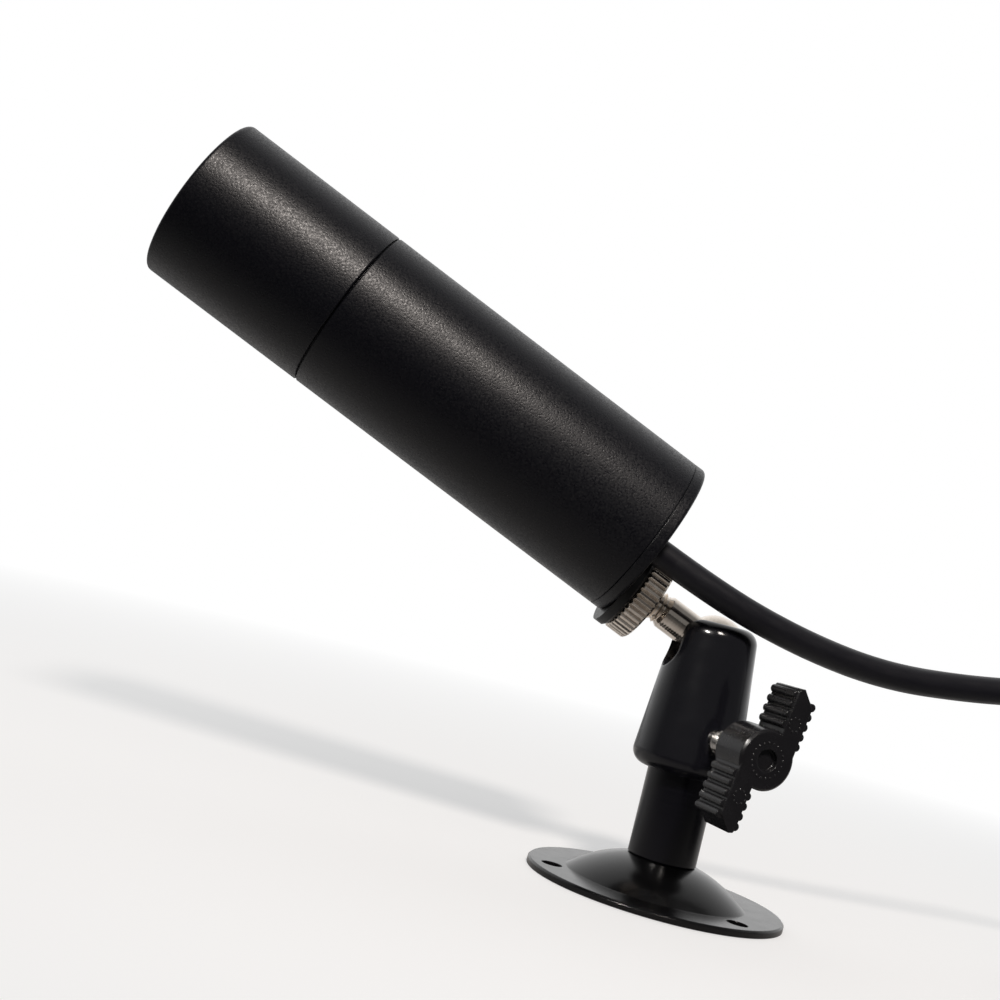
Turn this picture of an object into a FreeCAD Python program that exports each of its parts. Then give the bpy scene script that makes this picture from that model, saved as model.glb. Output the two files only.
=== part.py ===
"""A slim network camera on a ball-head stand, with its cable and network socket. Lengths are in mm."""
import FreeCAD
import Part
import Sketcher
import math
import os

doc = FreeCAD.newDocument("network_camera")
sheet = doc.addObject("Spreadsheet::Sheet", "sizes")


class Size:
    """A length known both as a number and as the formula that gives it."""

    def __init__(self, text, number):
        self.text = text
        self.number = number

    def __add__(self, other):
        other = as_size(other)
        return Size("(%s + %s)" % (self.text, other.text), self.number + other.number)

    def __sub__(self, other):
        other = as_size(other)
        return Size("(%s - %s)" % (self.text, other.text), self.number - other.number)

    def __mul__(self, factor):
        return Size("(%s * %r)" % (self.text, float(factor)), self.number * factor)

    def __neg__(self):
        return Size("(0 - %s)" % self.text, -self.number)


def as_size(value):
    """Takes a plain number as a fixed length."""
    if isinstance(value, Size):
        return value
    return Size("%r" % float(value), float(value))


def leg(long_side, other_leg):
    """The third side of a right triangle."""
    text = "sqrt(%s ^ 2 - %s ^ 2)" % (long_side.text, other_leg.text)
    return Size(text, math.sqrt(long_side.number ** 2 - other_leg.number ** 2))


def size(name, value):
    """Writes one driving size into the sheet and returns it."""
    size.row += 1
    sheet.set("A%d" % size.row, name)
    sheet.set("B%d" % size.row, str(value))
    sheet.setAlias("B%d" % size.row, name)
    return Size("sizes." + name, float(value))


size.row = 0
ORIGIN = as_size(0)

# Stand: pressed base plate, turned stem, cast ball head
plate_radius = size("plate_radius", 28.5)
plate_thick = size("plate_thick", 1.5)
dome_radius = size("dome_radius", 20.0)
foot_height = size("foot_height", 7.6)
hole_circle = size("hole_circle", 23.75)
hole_radius = size("hole_radius", 2.3)
stem_radius = size("stem_radius", 7.6)
spigot_radius = size("spigot_radius", 5.5)
spigot_length = size("spigot_length", 6.4)
head_bottom = size("head_bottom", 26.8)
head_foot_radius = size("head_foot_radius", 12.1)
head_crown_radius = size("head_crown_radius", 8.95)
ball_height = size("ball_height", 55.0)
ball_radius = size("ball_radius", 7.25)
lip_rise = size("lip_rise", 5.6)
slot_drop = size("slot_drop", 1.6)
slot_play = size("slot_play", 0.9)
ball_play = size("ball_play", 0.1)
thread_play = size("thread_play", 0.05)
stem_screw_radius = size("stem_screw_radius", 2.5)

# Clamp: wing knob on a steel screw that lifts the ball seat
screw_height = size("screw_height", 36.0)
screw_radius = size("screw_radius", 2.3)
knob_face = size("knob_face", 30.3)
knob_thick = size("knob_thick", 10.4)
hub_radius = size("hub_radius", 6.3)
wing_half_length = size("wing_half_length", 16.2)
wing_half_width = size("wing_half_width", 2.2)
wing_offset = size("wing_offset", 3.2)
wing_thick = size("wing_thick", 9.2)
rib_radius = size("rib_radius", 0.85)
rib_pitch = size("rib_pitch", 2.15)
recess_radius = size("recess_radius", 2.3)

# Ball stud, lock nut and washer
shank_radius = size("shank_radius", 3.85)
shoulder = size("shoulder", 14.3)
stud_thread_radius = size("stud_thread_radius", 3.175)
bare_thread = size("bare_thread", 3.3)
nut_radius = size("nut_radius", 10.2)
nut_thick = size("nut_thick", 4.8)
nut_clearance = size("nut_clearance", 0.3)
washer_radius = size("washer_radius", 10.6)
washer_thick = size("washer_thick", 2.4)
stud_engage = size("stud_engage", 7.6)

# Camera body
stud_tilt = size("stud_tilt", 67.5)
barrel_radius = size("barrel_radius", 19.0)
stud_inset = size("stud_inset", 8.1)
wall = size("wall", 2.0)
cap_flange = size("cap_flange", 2.8)
cap_plug = size("cap_plug", 6.0)
main_length = size("main_length", 80.6)
front_length = size("front_length", 39.7)
seam_gap = size("seam_gap", 0.3)
ledge = size("ledge", 0.8)
insert_radius = size("insert_radius", 4.2)
fit_play = size("fit_play", 0.05)

# Window, lens and boards
window_play = size("window_play", 0.2)
window_thick = size("window_thick", 2.0)
lip_width = size("lip_width", 3.8)
lens_radius = size("lens_radius", 7.0)
lens_thread_radius = size("lens_thread_radius", 5.9)
lens_setback = size("lens_setback", 7.0)
lens_head = size("lens_head", 8.0)
lens_length = size("lens_length", 21.0)
sensor_setback = size("sensor_setback", 34.4)
led_setback = size("led_setback", 13.6)
board_clearance = size("board_clearance", 1.44)
board_thick = size("board_thick", 1.6)
post_inset = size("post_inset", 2.0)
holder_foot = size("holder_foot", 4.5)
lead_inset = size("lead_inset", 3.6)
post_radius = size("post_radius", 1.8)
connector_height = size("connector_height", 6.0)
led_radius = size("led_radius", 1.5)

# Cable and network socket
cable_radius = size("cable_radius", 3.1)
cable_rise = size("cable_rise", 8.2)
cable_inset = size("cable_inset", 7.4)
grommet_wall = size("grommet_wall", 0.45)
coil_inner = size("coil_inner", 25.7)
coil_outer = size("coil_outer", 38.4)
socket_width = size("socket_width", 15.5)
socket_height = size("socket_height", 14.5)
socket_length = size("socket_length", 31.0)
jack_width = size("jack_width", 11.8)
jack_height = size("jack_height", 8.4)
jack_depth = size("jack_depth", 15.0)
doc.recompute()

# Bearings of the clamp screw and of the base holes, and the turn of the wings, in degrees
SCREW_BEARING = -73.0
HOLE_BEARING = 65.2
WING_TURN = 10.0

# Places along the stud's axis, counted from the ball's centre towards the camera's front
nut_back = shoulder + bare_thread
nut_front = nut_back + nut_thick
washer_back = nut_front + nut_clearance
cap_back = washer_back + washer_thick
cap_front = cap_back + cap_flange
seam = cap_front + main_length
front = seam + front_length
bore = barrel_radius - wall
seat_radius = ball_radius + ball_play

# Radii and offsets that keep to the barrel
barrel_rise = barrel_radius - stud_inset
cable_side = barrel_radius - cable_inset
window_radius = bore - window_play
lip_radius = barrel_radius - lip_width
board_half = (bore - board_clearance) * 0.7071
post_place = board_half - post_inset
led_circle = (bore + lens_radius) * 0.5 + 0.4

# Places behind the camera's front
lens_nose = front - lens_setback
lens_shoulder = lens_nose - lens_head
lock_ring_back = lens_shoulder - 5
sensor_face = front - sensor_setback
led_back = front - led_setback
led_face = led_back + board_thick

solids = []


def new_body(label):
    """Opens a sub-part of its own."""
    body = doc.addObject("PartDesign::Body", label)
    body.Label = label
    solids.append(body)
    return body


def on_plane(body, role, name, level=None):
    """Opens a sketch on one of the body's own planes, lifted to a level where one is given."""
    sketch = body.newObject("Sketcher::SketchObject", name)
    plane = [feature for feature in body.Origin.OriginFeatures if feature.Role == role][0]
    sketch.AttachmentSupport = (plane, [""])
    sketch.MapMode = "FlatFace"
    if level is not None:
        sketch.setExpression("AttachmentOffset.Base.z", level.text)
    return sketch


def pin(sketch, shape, end, across, along):
    """Holds a point of the sketch at named distances from the sketch's origin."""
    for kind, distance, axis in (("DistanceX", across, -2), ("DistanceY", along, -1)):
        if distance.number == 0:
            sketch.addConstraint(Sketcher.Constraint("PointOnObject", shape, end, axis))
            continue
        held = Sketcher.Constraint(kind, -1, 1, shape, end, distance.number)
        number = sketch.addConstraint(held)
        sketch.setExpression("Constraints[%d]" % number, distance.text)


def axis_arc(a, b):
    """An arc from a to b with its centre on the sketch's upright axis, and its end numbers."""
    middle = (b.x ** 2 + b.y ** 2 - a.x ** 2 - a.y ** 2) / (2 * (b.y - a.y))
    centre = FreeCAD.Vector(0, middle, 0)
    circle = Part.Circle(centre, FreeCAD.Vector(0, 0, 1), (a - centre).Length)
    first = math.atan2(a.y - middle, a.x)
    last = math.atan2(b.y - middle, b.x)
    turn = (last - first + math.pi) % (2 * math.pi) - math.pi
    if turn > 0:
        return Part.ArcOfCircle(circle, first, first + turn), (1, 2)
    return Part.ArcOfCircle(circle, last, last - turn), (2, 1)


def outline(sketch, corners, round_sides=()):
    """Draws a closed outline through named corners. Round sides are arcs centred on the axis."""
    corners = [(as_size(across), as_size(along)) for across, along in corners]
    points = [FreeCAD.Vector(across.number, along.number, 0) for across, along in corners]
    ends = []
    for i, a in enumerate(points):
        b = points[(i + 1) % len(points)]
        if i in round_sides:
            arc, order = axis_arc(a, b)
            sketch.addGeometry(arc, False)
        else:
            order = (1, 2)
            sketch.addGeometry(Part.LineSegment(a, b), False)
        ends.append(order)
    for i, order in enumerate(ends):
        after = (i + 1) % len(ends)
        sketch.addConstraint(Sketcher.Constraint("Coincident", i, order[1], after, ends[after][0]))
    for i, (across, along) in enumerate(corners):
        pin(sketch, i, ends[i][0], across, along)
    for i in round_sides:
        sketch.addConstraint(Sketcher.Constraint("PointOnObject", i, 3, -2))


def disc(sketch, across, along, radius):
    """Draws a circle at a named place."""
    across = as_size(across)
    along = as_size(along)
    centre = FreeCAD.Vector(across.number, along.number, 0)
    circle = Part.Circle(centre, FreeCAD.Vector(0, 0, 1), radius.number)
    shape = sketch.addGeometry(circle, False)
    pin(sketch, shape, 3, across, along)
    number = sketch.addConstraint(Sketcher.Constraint("Radius", shape, radius.number))
    sketch.setExpression("Constraints[%d]" % number, radius.text)


def block_outline(sketch, half_width, half_height, across=0, along=0):
    """Draws an upright rectangle about a named place."""
    across = as_size(across)
    along = as_size(along)
    low = along - half_height
    high = along + half_height
    outline(sketch, [(across - half_width, low), (across + half_width, low),
                     (across + half_width, high), (across - half_width, high)])


def revolve(body, sketch):
    """Turns a half section about the upright axis."""
    turn = body.newObject("PartDesign::Revolution", sketch.Name + "_turn")
    turn.Profile = sketch
    turn.ReferenceAxis = (sketch, ["V_Axis"])
    turn.Angle = 360
    sketch.Visibility = False
    return turn


def turned(label, corners, round_sides=()):
    """A sub-part turned from one half section."""
    body = new_body(label)
    sketch = on_plane(body, "XZ_Plane", label + "_section")
    outline(sketch, corners, round_sides)
    revolve(body, sketch)
    return body


def ring(label, inner, outer, low, high):
    """A plain ring."""
    return turned(label, [(inner, low), (outer, low), (outer, high), (inner, high)])


def pad(body, sketch, length):
    """Thickens a sketch upwards."""
    feature = body.newObject("PartDesign::Pad", sketch.Name + "_pad")
    feature.Profile = sketch
    feature.setExpression("Length", as_size(length).text)
    return feature


def cut(body, sketch, length, forward=False, both_ways=False):
    """Cuts a sketch into the body."""
    feature = body.newObject("PartDesign::Pocket", sketch.Name + "_cut")
    feature.Profile = sketch
    feature.setExpression("Length", as_size(length).text)
    feature.Reversed = forward
    feature.Midplane = both_ways
    return feature


def round_edge(body, radius, level, fillet):
    """Rounds the circular edge of a given radius at a given level of the body's axis."""
    doc.recompute()
    base = body.Tip
    found = []
    for number, edge in enumerate(base.Shape.Edges, 1):
        if edge.Curve.TypeId != "Part::GeomCircle":
            continue
        centre = edge.Curve.Center
        on_axis = math.hypot(centre.x, centre.y) < 0.01
        if on_axis and abs(centre.z - level.number) < 0.01 and abs(edge.Curve.Radius - radius.number) < 0.01:
            found.append("Edge%d" % number)
    feature = body.newObject("PartDesign::Fillet", body.Name + "_round_%d" % len(body.Group))
    feature.Base = (base, found)
    feature.Radius = fillet
    return feature


def around(body, feature, count, label):
    """Repeats a feature about the body's upright axis."""
    pattern = body.newObject("PartDesign::PolarPattern", label)
    axis = [part for part in body.Origin.OriginFeatures if part.Role == "Z_Axis"][0]
    pattern.Originals = [feature]
    pattern.Axis = (axis, [""])
    pattern.Angle = 360
    pattern.Occurrences = count
    body.Tip = pattern
    return pattern


def on_stud(body, rise=ORIGIN, side=ORIGIN):
    """Stands a sub-part along the stud's axis, a named rise above it and to one side of it."""
    tilt = stud_tilt.number
    across = rise.number * math.cos(math.radians(tilt))
    up = ball_height.number + rise.number * math.sin(math.radians(tilt))
    place = FreeCAD.Vector(across, side.number, up)
    body.Placement = FreeCAD.Placement(place, FreeCAD.Rotation(FreeCAD.Vector(0, -1, 0), tilt))
    angle = stud_tilt.text + " * 1deg"
    body.setExpression("Placement.Base.x", "%s * cos(%s)" % (rise.text, angle))
    body.setExpression("Placement.Base.y", side.text)
    body.setExpression("Placement.Base.z", "%s + %s * sin(%s)" % (ball_height.text, rise.text, angle))
    body.setExpression("Placement.Rotation.Angle", angle)


def on_screw(body):
    """Stands a sub-part along the clamp screw, counted outwards from the stem's axis."""
    bearing = FreeCAD.Rotation(FreeCAD.Vector(0, 0, 1), SCREW_BEARING)
    lay_down = FreeCAD.Rotation(FreeCAD.Vector(0, 1, 0), 90)
    wings = FreeCAD.Rotation(FreeCAD.Vector(0, 0, 1), -WING_TURN)
    place = FreeCAD.Vector(0, 0, screw_height.number)
    body.Placement = FreeCAD.Placement(place, bearing * lay_down * wings)
    body.setExpression("Placement.Base.z", screw_height.text)


def base_plate():
    """Pressed steel plate with a raised dome, a flat seat for the stem and three screw holes."""
    clear_hole = stem_screw_radius + 0.3
    under = foot_height - plate_thick
    body = turned("base_plate", [
        (clear_hole, under), (stem_radius - plate_thick * 0.2, under),
        (dome_radius - plate_thick * 0.4, 0), (plate_radius, 0), (plate_radius, plate_thick - 0.4),
        (plate_radius - 0.4, plate_thick), (dome_radius, plate_thick), (stem_radius, foot_height),
        (clear_hole, foot_height)], (1, 6))
    sketch = on_plane(body, "XY_Plane", "base_hole")
    bearing = math.radians(HOLE_BEARING)
    disc(sketch, hole_circle * math.cos(bearing), hole_circle * math.sin(bearing), hole_radius)
    hole = cut(body, sketch, plate_thick * 4, both_ways=True)
    around(body, hole, 3, "base_holes")


def stem():
    """Turned aluminium post with a spigot into the head and a tapped hole for its screw."""
    hole = stem_screw_radius + thread_play
    top = head_bottom + spigot_length
    hole_end = foot_height + 10
    turned("stem", [
        (hole, foot_height), (stem_radius - 0.3, foot_height), (stem_radius, foot_height + 0.3),
        (stem_radius, head_bottom), (spigot_radius, head_bottom), (spigot_radius, top),
        (0, top), (0, hole_end), (hole, hole_end)])


def stem_fixing():
    """Screw and washer that hold the stem from under the plate."""
    seat = foot_height - plate_thick
    under = seat - 0.8
    ring("stem_washer", stem_screw_radius + 0.2, stem_screw_radius + 2.5, under, seat)
    head = stem_screw_radius + 1.7
    turned("stem_screw", [
        (0, under - 2.4), (head, under - 2.4), (head, under), (stem_screw_radius, under),
        (stem_screw_radius, foot_height + 8.5), (0, foot_height + 8.5)])


def ball_head():
    """Cast cone-shaped housing with a ball seat in its crown, a side slot and a cross hole."""
    crown = ball_height + lip_rise
    inside = spigot_radius + fit_play
    floor = head_bottom + spigot_length + 0.4
    body = turned("ball_head", [
        (inside, head_bottom), (head_foot_radius, head_bottom), (head_crown_radius, crown),
        (leg(seat_radius, lip_rise), crown), (seat_radius, ball_height), (seat_radius, floor),
        (inside, floor)], (3,))
    round_edge(body, head_foot_radius, head_bottom, 3.2)
    round_edge(body, head_crown_radius, crown, 3.4)
    half = shank_radius + slot_play
    low = ball_height - slot_drop
    slot = on_plane(body, "YZ_Plane", "head_slot")
    outline(slot, [(half, low), (half, crown + 2), (-half, crown + 2), (-half, low), (0, low - half)], (3, 4))
    cut(body, slot, head_foot_radius * 2)
    cross = on_plane(body, "XZ_Plane", "head_cross_hole")
    cross.AttachmentOffset = FreeCAD.Placement(
        FreeCAD.Vector(0, 0, 0), FreeCAD.Rotation(FreeCAD.Vector(0, 1, 0), 90 + SCREW_BEARING))
    disc(cross, 0, screw_height, screw_radius + thread_play)
    cut(body, cross, head_foot_radius * 2, forward=True)


def ball_seat():
    """Plunger with a cup for the ball and a sloped foot for the clamp screw."""
    radius = seat_radius - 0.07
    foot = screw_height - 0.6
    nose = screw_radius + 0.5
    cup_depth = lip_rise - 1.1
    rim = ball_height - cup_depth
    turned("ball_seat", [
        (0, foot), (nose, foot), (radius, foot + radius - nose), (radius, rim),
        (leg(seat_radius, cup_depth), rim), (0, ball_height - seat_radius)], (4,))


def clamp_screw():
    """Steel screw with a cone point, moulded into the wing knob."""
    end = knob_face - 2
    body = turned("clamp_screw", [
        (0, screw_radius + 2.3), (0.8, screw_radius + 2.3), (screw_radius, screw_radius * 2 + 1.5),
        (screw_radius, end), (0, end)])
    on_screw(body)


def wing_knob():
    """Moulded knob with a round hub, two staggered ribbed wings and a shallow dish in its face."""
    back = knob_face - knob_thick
    body = turned("wing_knob", [
        (0, back), (hub_radius - 0.7, back), (hub_radius, back + 0.7), (hub_radius, knob_face - 0.5),
        (hub_radius - 0.5, knob_face), (0, knob_face)])
    wing = on_plane(body, "XY_Plane", "knob_wing", knob_face - wing_thick)
    tip = wing_half_length
    slope = wing_half_length - 3
    inner = -wing_offset + wing_half_width
    outer = -wing_offset - wing_half_width
    outline(wing, [
        (0, outer), (slope, outer), (tip - 0.7, inner - 1.9), (tip, inner - 1.2),
        (tip - 0.3, inner - 0.3), (tip - 1, inner), (0, inner)])
    lobe = pad(body, wing, wing_thick)
    around(body, lobe, 2, "knob_wings")
    ribs = on_plane(body, "XY_Plane", "knob_ribs", knob_face - wing_thick + 0.3)
    for step in range(5):
        along = slope + 0.2 - rib_pitch * step
        disc(ribs, along, outer, rib_radius)
        if step < 4:
            disc(ribs, along + 1.2, inner, rib_radius)
    grip = pad(body, ribs, wing_thick - 0.6)
    around(body, grip, 2, "knob_grips")
    dish = on_plane(body, "XY_Plane", "knob_dish", knob_face)
    disc(dish, 0, 0, recess_radius)
    cut(body, dish, 1.2)
    socket = on_plane(body, "XY_Plane", "knob_socket", back)
    disc(socket, 0, 0, screw_radius + 0.02)
    cut(body, socket, knob_thick - 1.9, forward=True)
    on_screw(body)


def ball_stud():
    """Steel ball with a plain shank, a shoulder and a threaded end."""
    tip = cap_back + stud_engage
    body = turned("ball_stud", [
        (0, -ball_radius), (shank_radius, leg(ball_radius, shank_radius)), (shank_radius, shoulder - 0.9),
        (shank_radius - 0.6, shoulder), (stud_thread_radius, shoulder), (stud_thread_radius, tip - 0.8),
        (stud_thread_radius - 0.8, tip), (0, tip)], (0,))
    on_stud(body)


def lock_nut():
    """Round nut with a straight-knurled edge that locks the camera on the stud."""
    hole = stud_thread_radius + thread_play
    body = turned("lock_nut", [
        (hole, nut_back), (nut_radius - 0.4, nut_back), (nut_radius, nut_back + 0.4),
        (nut_radius, nut_front - 0.4), (nut_radius - 0.4, nut_front), (hole, nut_front)])
    sketch = on_plane(body, "XY_Plane", "nut_knurl", nut_back - 0.5)
    outline(sketch, [(nut_radius - 0.55, 0), (nut_radius + 0.2, -0.6), (nut_radius + 0.2, 0.6)])
    groove = cut(body, sketch, nut_thick + 1, forward=True)
    around(body, groove, 44, "nut_knurls")
    on_stud(body)


def stud_washer():
    """Black spacer washer between the lock nut and the rear cap."""
    hole = stud_thread_radius + 0.3
    body = turned("stud_washer", [
        (hole, washer_back), (washer_radius - 0.5, washer_back), (washer_radius, washer_back + 0.5),
        (washer_radius, cap_back), (hole, cap_back)])
    on_stud(body)


def rear_cap():
    """Turned end cap with a plug, a seal groove and holes for the threaded insert and the cable."""
    plug = bore - fit_play * 2
    groove = plug - 1.1
    end = cap_front + cap_plug
    body = turned("rear_cap", [
        (0, cap_back), (barrel_radius, cap_back), (barrel_radius, cap_front - 0.2),
        (barrel_radius - 0.2, cap_front), (plug, cap_front), (plug, cap_front + 1.5),
        (groove, cap_front + 1.5), (groove, cap_front + 3.1), (plug, cap_front + 3.1),
        (plug, end), (0, end)])
    round_edge(body, barrel_radius, cap_back, 0.8)
    hole = on_plane(body, "XY_Plane", "cap_stud_hole", cap_back - 1)
    disc(hole, -barrel_rise, 0, insert_radius + fit_play)
    cut(body, hole, cap_flange + cap_plug + 2, forward=True)
    hole = on_plane(body, "XY_Plane", "cap_cable_hole", cap_back - 1)
    disc(hole, cable_rise - barrel_rise, -cable_side, cable_radius + grommet_wall + 0.1)
    cut(body, hole, cap_flange + cap_plug + 2, forward=True)
    on_stud(body, barrel_rise)


def cap_seal():
    """Rubber O-ring in the rear cap's groove."""
    middle = bore - fit_play * 2 - 0.5
    level = cap_front + 2.3
    body = turned("rear_cap_seal", [
        (middle - 0.55, level - 0.25), (middle - 0.25, level - 0.55), (middle + 0.25, level - 0.55),
        (middle + 0.55, level - 0.25), (middle + 0.55, level + 0.25), (middle + 0.25, level + 0.55),
        (middle - 0.25, level + 0.55), (middle - 0.55, level + 0.25)])
    on_stud(body, barrel_rise)


def stud_insert():
    """Brass threaded insert, flanged on the inside of the rear cap."""
    end = cap_front + cap_plug
    hole = stud_thread_radius + thread_play
    body = turned("stud_insert", [
        (hole, cap_back + 0.2), (insert_radius, cap_back + 0.2), (insert_radius, end),
        (insert_radius + 1.3, end), (insert_radius + 1.3, end + 1.5), (0, end + 1.5),
        (0, end + 0.5), (hole, end + 0.5)])
    on_stud(body)


def cable_grommet():
    """Rubber sleeve that seals the cable in the rear cap, flanged on the inside."""
    end = cap_front + cap_plug
    hole = cable_radius + 0.1
    sleeve = cable_radius + grommet_wall + 0.05
    body = turned("cable_grommet", [
        (hole, cap_back + 0.2), (sleeve, cap_back + 0.2), (sleeve, end), (sleeve + 1.2, end),
        (sleeve + 1.2, end + 1.3), (hole, end + 1.3)])
    on_stud(body, cable_rise, -cable_side)


def main_housing():
    """Aluminium tube with a bore for the cap, a ledge for the boards and a threaded front spigot."""
    narrow = bore - ledge
    spigot = barrel_radius - wall * 0.55
    body = turned("main_housing", [
        (bore, cap_front), (barrel_radius - 0.2, cap_front), (barrel_radius, cap_front + 0.2),
        (barrel_radius, seam - 0.25), (barrel_radius - 0.25, seam), (spigot, seam), (spigot, seam + 6),
        (bore, seam + 6), (bore, seam - 6), (narrow, seam - 6), (narrow, cap_front + cap_plug + 3),
        (bore, cap_front + cap_plug + 3)])
    on_stud(body, barrel_rise)


def front_housing():
    """Aluminium nose that screws on the main tube, with a bevelled lip in front of the window."""
    spigot = barrel_radius - wall * 0.55 + fit_play
    back = seam + seam_gap
    body = turned("front_housing", [
        (spigot, back), (barrel_radius - 0.25, back), (barrel_radius, back + 0.25), (barrel_radius, front),
        (lip_radius + 1.2, front), (lip_radius, front - 1.2), (lip_radius, front - 2.2),
        (bore, front - 2.2), (bore, seam + 7), (spigot, seam + 7)])
    round_edge(body, barrel_radius, front, 0.8)
    on_stud(body, barrel_rise)


def front_seals_and_window():
    """Joint seal, window seal, glass window and the threaded ring that holds the window."""
    spigot = barrel_radius - wall * 0.55
    body = ring("housing_seal", bore + 0.1, spigot - 0.05, seam + 6.05, seam + 6.95)
    on_stud(body, barrel_rise)
    seal_back = front - 3
    body = ring("window_seal", lip_radius + 0.2, window_radius, seal_back, front - 2.2)
    on_stud(body, barrel_rise)
    glass_back = seal_back - window_thick
    body = ring("front_window", ORIGIN, window_radius, glass_back, seal_back)
    on_stud(body, barrel_rise)
    body = ring("window_retainer", lip_radius - 0.6, bore - 0.1, glass_back - 2.5, glass_back)
    notch = on_plane(body, "XY_Plane", "retainer_notches", glass_back - 2.5)
    block_outline(notch, bore + 1, as_size(1.0))
    cut(body, notch, 1.0, forward=True)
    on_stud(body, barrel_rise)


def lens():
    """Screw-in lens with its front glass, lock ring and the rubber shroud up to the window."""
    nose = lens_nose
    end = nose - lens_length
    body = turned("lens_barrel", [
        (0, end), (lens_thread_radius - 1.3, end), (lens_thread_radius, end + 1),
        (lens_thread_radius, lens_shoulder), (lens_radius, lens_shoulder + 0.6), (lens_radius, nose - 0.4),
        (lens_radius - 0.4, nose), (lens_radius - 1.2, nose), (lens_radius - 2, nose - 2), (0, nose - 2)])
    on_stud(body, barrel_rise)
    glass = lens_radius - 2.1
    body = turned("lens_front_element", [
        (0, nose - 1.95), (glass, nose - 1.95), (glass, nose - 1.4), (0, nose - 0.3)], (2,))
    on_stud(body, barrel_rise)
    body = ring("lens_lock_ring", lens_thread_radius + fit_play, lens_thread_radius + 2,
                lock_ring_back, lock_ring_back + 2.5)
    on_stud(body, barrel_rise)
    shroud = lens_radius + 0.6
    body = ring("lens_shroud", shroud, shroud + 1, led_face, front - 3.05 - window_thick)
    on_stud(body, barrel_rise)


def lens_holder():
    """Square-footed lens mount over the image sensor."""
    back = sensor_face
    body = new_body("lens_holder")
    foot = on_plane(body, "XY_Plane", "holder_foot", back)
    block_outline(foot, post_place - 2, post_place - 2)
    pad(body, foot, holder_foot)
    tube = on_plane(body, "XY_Plane", "holder_tube", back + holder_foot - 0.5)
    disc(tube, 0, 0, lens_thread_radius + 2)
    pad(body, tube, lock_ring_back - back - holder_foot + 0.45)
    hole = on_plane(body, "XY_Plane", "holder_bore", back + 1)
    disc(hole, 0, 0, lens_thread_radius + fit_play)
    cut(body, hole, 16, forward=True)
    room = on_plane(body, "XY_Plane", "holder_room", back)
    block_outline(room, as_size(5.5), as_size(5.5))
    cut(body, room, 3, forward=True)
    on_stud(body, barrel_rise)


def board(label, low):
    """A square circuit board."""
    body = new_body(label)
    sketch = on_plane(body, "XY_Plane", label + "_edge", low)
    block_outline(sketch, board_half, board_half)
    pad(body, sketch, board_thick)
    on_stud(body, barrel_rise)


def chip(label, half_width, half_height, low, thick, across=ORIGIN, along=ORIGIN):
    """A rectangular component on a board."""
    body = new_body(label)
    sketch = on_plane(body, "XY_Plane", label + "_edge", low)
    block_outline(sketch, as_size(half_width), as_size(half_height), across, along)
    pad(body, sketch, thick)
    on_stud(body, barrel_rise)


def posts(body, name, low, length):
    """Four posts at the boards' corners."""
    sketch = on_plane(body, "XY_Plane", name, low)
    for across in (-1, 1):
        for along in (-1, 1):
            disc(sketch, post_place * across, post_place * along, post_radius)
    pad(body, sketch, length)


def electronics():
    """Sensor board, processor board and the moulded frames that carry them."""
    sensor_back = sensor_face - board_thick
    carrier_back = seam - 5.95
    carrier_front = carrier_back + 2
    body = ring("board_carrier", post_place + 1.5, bore - 0.1, carrier_back, carrier_front)
    posts(body, "carrier_front_posts", carrier_front - 0.5, sensor_back - carrier_front + 0.45)
    posts(body, "carrier_rear_posts", carrier_back - 4, as_size(4.5))
    on_stud(body, barrel_rise)
    board("sensor_board", sensor_back)
    chip("image_sensor", 4.25, 4.25, sensor_face, 1.4)
    processor_face = carrier_back - 4.05
    processor_back = processor_face - board_thick
    board("processor_board", processor_back)
    chip("processor_chip", 5.5, 5.5, processor_back - 1.6, 1.6, as_size(2.0), as_size(2.0))
    chip("board_connector", board_half * 0.45, 2.4, processor_back - connector_height, connector_height,
         ORIGIN, -board_half + 3.4)
    body = ring("led_frame", post_place + 1.5, post_place + 4.5, led_back - 2.05, led_back - 0.05)
    posts(body, "led_frame_legs", sensor_face + 0.05, led_back - sensor_face - 1)
    on_stud(body, barrel_rise)
    body = ring("led_board", lens_radius + 1.8, bore - 0.8, led_back, led_back + board_thick)
    on_stud(body, barrel_rise)


def infrared_leds():
    """Clear moulding with a ring of twelve round-topped infrared lamps."""
    low = led_face
    body = ring("infrared_leds", lens_radius + 2.2, bore - 1.2, low, low + 0.6)
    sketch = on_plane(body, "XY_Plane", "led_foot", low + 0.3)
    disc(sketch, led_circle, 0, led_radius)
    lamp = pad(body, sketch, 2.4)
    around(body, lamp, 12, "led_ring")
    on_stud(body, barrel_rise)


def tube_along(label, points, radius):
    """A round cord of straight runs joined by tangent arcs through hand-picked points."""
    edges = []
    radii = []
    start = points[0]
    length = 0
    for before, corner, after in zip(points, points[1:], points[2:]):
        inward = (before - corner).normalize()
        onward = (after - corner).normalize()
        reach = 0.49 * min((before - corner).Length, (after - corner).Length)
        half_turn = (math.pi - inward.getAngle(onward)) / 2
        radii.append(reach / math.tan(half_turn))
        first = corner + inward * reach
        last = corner + onward * reach
        bisector = (inward + onward).normalize()
        middle = corner + bisector * (radii[-1] / math.cos(half_turn) - radii[-1])
        edges.append(Part.LineSegment(start, first).toShape())
        edges.append(Part.Arc(first, middle, last).toShape())
        start = last
    edges.append(Part.LineSegment(start, points[-1]).toShape())
    path = Part.Wire(edges)
    length = path.Length
    along = (points[1] - points[0]).normalize()
    section = Part.Wire(Part.Circle(points[0], along, radius.number).toShape())
    solid = path.makePipeShell([section], True, False)
    cord = doc.addObject("Part::Feature", label)
    cord.Label = label
    cord.Shape = solid
    solids.append(cord)
    flat = math.pi * radius.number ** 2 * length
    print(label, "length %.1f" % length, "volume over section x length %.4f" % (solid.Volume / flat))
    print(label, "arc radii", ", ".join("%.0f" % value for value in radii))


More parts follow.
